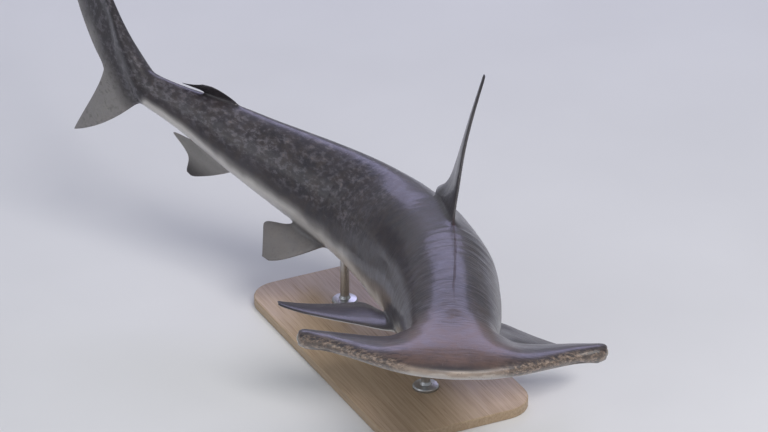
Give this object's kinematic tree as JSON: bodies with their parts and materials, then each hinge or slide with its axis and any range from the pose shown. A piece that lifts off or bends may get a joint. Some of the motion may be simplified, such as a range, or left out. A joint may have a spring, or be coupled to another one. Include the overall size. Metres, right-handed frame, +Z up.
{
  "type": "smooth hammerhead shark",
  "caption": "Life-size still model of a smooth hammerhead shark turning at the surface, its body bent and nose raised, held on a flat display base by short steel rods.",
  "frame": {"origin": "centre of the underside of the display base", "axes": "+Z up; the head faces -Y and the animal's left flank is towards +X; the tail swings towards -X and +Y"},
  "size_m": [1.5851, 2.2427, 1.0144],
  "materials": {
    "head_skin": "satin, wet",
    "body_skin": "satin, wet",
    "fin_skin": "satin, wet",
    "eye": "gloss",
    "stand_board": "oiled light oak",
    "stand_steel": "brushed"
  },
  "bodies": {
    "root": {"head": "head_skin", "eye_left": "eye", "eye_right": "eye", "trunk_front": "body_skin", "trunk_middle": "body_skin", "tail_stalk": "body_skin", "caudal_fin": "fin_skin", "dorsal_fin_first": "fin_skin", "dorsal_fin_second": "fin_skin", "anal_fin": "fin_skin", "pectoral_fin_left": "fin_skin", "pectoral_fin_right": "fin_skin", "pelvic_fin_left": "fin_skin", "pelvic_fin_right": "fin_skin", "stand_base": "stand_board", "stand_rod_front": "stand_steel", "stand_rod_rear": "stand_steel"}
  },
  "joints": []
}
